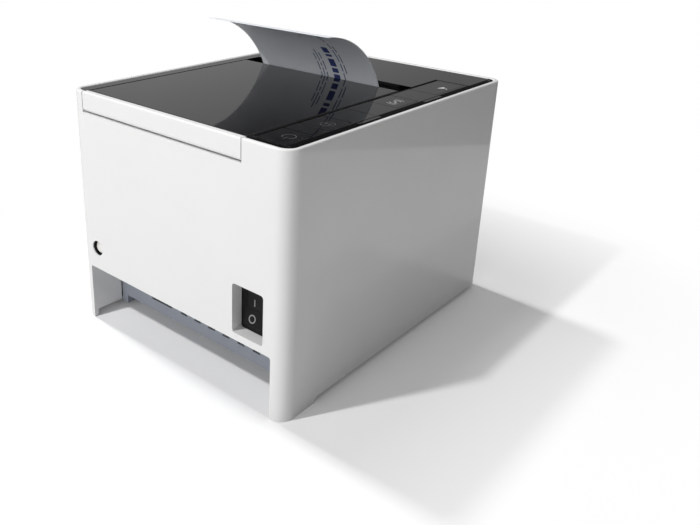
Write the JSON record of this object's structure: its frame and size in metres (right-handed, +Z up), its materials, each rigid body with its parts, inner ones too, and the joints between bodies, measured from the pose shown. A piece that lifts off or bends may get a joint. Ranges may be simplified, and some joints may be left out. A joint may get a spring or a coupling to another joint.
{
  "type": "receipt printer",
  "caption": "Desktop thermal receipt printer: boxy case with rear cable bay, rear-hinged gloss lid over a paper roll, key strip, rocker switch and a printed slip curling from the slot.",
  "frame": {"origin": "middle of the case's footprint, on the surface it stands on", "axes": "+Z up; -Y towards the front, +Y towards the lid hinge and the cable bay; the keys are on the -X side"},
  "size_m": [0.14, 0.176, 0.1533],
  "materials": {
    "case_white": "fine satin moulding",
    "cap_white": "fine satin moulding",
    "tray_grey": "fine moulded texture",
    "gloss_black": "high gloss",
    "switch_black": "satin",
    "inner_black": "fine moulded texture",
    "paper": "coated thermal paper",
    "card": "plain",
    "steel_sheet": "zinc-plated sheet",
    "steel_pin": "ground",
    "spring_steel": "drawn wire",
    "blade_steel": "ground",
    "motor_zinc": "zinc-plated can",
    "gear_acetal": "moulded acetal",
    "brass": "turned",
    "platen_rubber": "ground",
    "foot_rubber": "moulded",
    "sink_aluminium": "extruded",
    "head_ceramic": "glazed line on ceramic",
    "bush_acetal": "moulded acetal",
    "latch_acetal": "moulded acetal",
    "board_green": "solder mask",
    "socket_black": "moulded",
    "socket_shell": "stamped"
  },
  "bodies": {
    "chassis": {"case_shell": "case_white", "base_tray": "tray_grey", "rubber_feet": "foot_rubber", "case_screws": "steel_pin", "mech_screws": "steel_pin", "board_screws": "steel_pin", "main_board": "board_green", "network_socket": "socket_black", "drawer_socket": "socket_black", "usb_socket": "socket_shell", "power_socket": "socket_black", "switch_body": "switch_black", "screw_cap": "cap_white", "cap_sleeve": "switch_black", "hinge_pins": "steel_pin", "paper_bucket": "inner_black", "paper_web": "paper", "mech_frame": "steel_sheet", "feed_motor": "motor_zinc", "idler_axle": "steel_pin", "head_pivot_pin": "steel_pin", "head_springs": "spring_steel", "cutter_base": "steel_sheet", "blade_studs": "steel_pin", "cutter_motor": "motor_zinc", "top_bezel": "gloss_black", "control_strip": "gloss_black", "panel_board": "board_green", "tact_switches": "socket_black", "latch_pin": "steel_pin", "release_spring": "spring_steel"},
    "lid": {"lid_cover": "gloss_black", "lid_flap": "case_white", "lid_frame": "inner_black", "fixed_blade": "blade_steel", "platen_bushes": "bush_acetal", "lid_screws": "steel_pin"},
    "platen": {"platen_roller": "platen_rubber", "platen_shaft": "steel_pin", "platen_gear": "gear_acetal"},
    "slip": {"receipt": "paper"},
    "idler": {"idler_gear": "gear_acetal"},
    "pinion": {"motor_pinion": "brass"},
    "roll": {"paper_roll": "paper", "roll_core": "card"},
    "head": {"heat_sink": "sink_aluminium", "print_head": "head_ceramic"},
    "blade": {"cutter_blade": "blade_steel"},
    "cutter_drive": {"cutter_pinion": "brass"},
    "release": {"release_key": "gloss_black"},
    "latch": {"latch_lever": "latch_acetal"},
    "feed": {"feed_key": "gloss_black"},
    "pause": {"pause_key": "gloss_black"},
    "power": {"power_key": "gloss_black"},
    "switch": {"rocker": "switch_black"}
  },
  "joints": [
    {"name": "lid_hinge", "type": "hinge", "parent": "chassis", "child": "lid", "pos_m": [0.008, 0.0862, 0.1159], "axis": [-1, 0, 0], "range_deg": [0, 95]},
    {"name": "platen_spin", "type": "hinge", "parent": "lid", "child": "platen", "pos_m": [0.008, -0.02145, 0.11], "axis": [1, 0, 0], "continuous": true},
    {"name": "receipt_lift", "type": "slide", "parent": "lid", "child": "slip", "axis": [0, 0, 1], "range_m": [0, 0.03]},
    {"name": "roll_spin", "type": "hinge", "parent": "chassis", "child": "roll", "pos_m": [0.008, 0.036, 0.0683], "axis": [1, 0, 0], "continuous": true},
    {"name": "idler_spin", "type": "hinge", "parent": "chassis", "child": "idler", "pos_m": [0.0542, -0.02673, 0.0903], "axis": [1, 0, 0], "continuous": true},
    {"name": "motor_spin", "type": "hinge", "parent": "chassis", "child": "pinion", "pos_m": [0.0542, -0.04006, 0.07911], "axis": [1, 0, 0], "continuous": true},
    {"name": "head_pivot", "type": "hinge", "parent": "chassis", "child": "head", "pos_m": [0.008, -0.03255, 0.0955], "axis": [1, 0, 0], "range_deg": [0, 3], "stiffness_Nm_per_rad": 1, "springref_deg": -8.59, "deforming": ["head_springs"]},
    {"name": "cutter_slide", "type": "slide", "parent": "chassis", "child": "blade", "axis": [0, 1, 0], "range_m": [0, 0.006]},
    {"name": "cutter_spin", "type": "hinge", "parent": "chassis", "child": "cutter_drive", "pos_m": [0.025, -0.061, 0.118], "axis": [0, 0, 1], "range_deg": [0, 75]},
    {"name": "release_press", "type": "slide", "parent": "chassis", "child": "release", "axis": [0, 0, -1], "range_m": [0, 0.002], "stiffness_N_per_m": 300, "springref_m": -0.001, "deforming": ["release_spring"]},
    {"name": "latch_turn", "type": "hinge", "parent": "chassis", "child": "latch", "pos_m": [-0.05, -0.038, 0.1], "axis": [1, 0, 0], "range_deg": [0, 20]},
    {"name": "feed_press", "type": "slide", "parent": "chassis", "child": "feed", "axis": [0, 0, -1], "range_m": [0, 0.0005], "stiffness_N_per_m": 600, "springref_m": -0.0005},
    {"name": "pause_press", "type": "slide", "parent": "chassis", "child": "pause", "axis": [0, 0, -1], "range_m": [0, 0.0005], "stiffness_N_per_m": 600, "springref_m": -0.0005},
    {"name": "power_press", "type": "slide", "parent": "chassis", "child": "power", "axis": [0, 0, -1], "range_m": [0, 0.0005], "stiffness_N_per_m": 600, "springref_m": -0.0005},
    {"name": "rocker_tilt", "type": "hinge", "parent": "chassis", "child": "switch", "pos_m": [-0.049, 0.0806, 0.0465], "axis": [1, 0, 0], "range_deg": [-18, 0]}
  ],
  "couplings": [
    {"joint": "platen_spin", "follows": "roll_spin", "ratio": 6},
    {"joint": "idler_spin", "follows": "roll_spin", "ratio": -4.2},
    {"joint": "motor_spin", "follows": "roll_spin", "ratio": 9.3333},
    {"joint": "cutter_spin", "follows": "cutter_slide", "rad_per_m": 185.19},
    {"joint": "latch_turn", "follows": "release_press", "rad_per_m": 112}
  ]
}
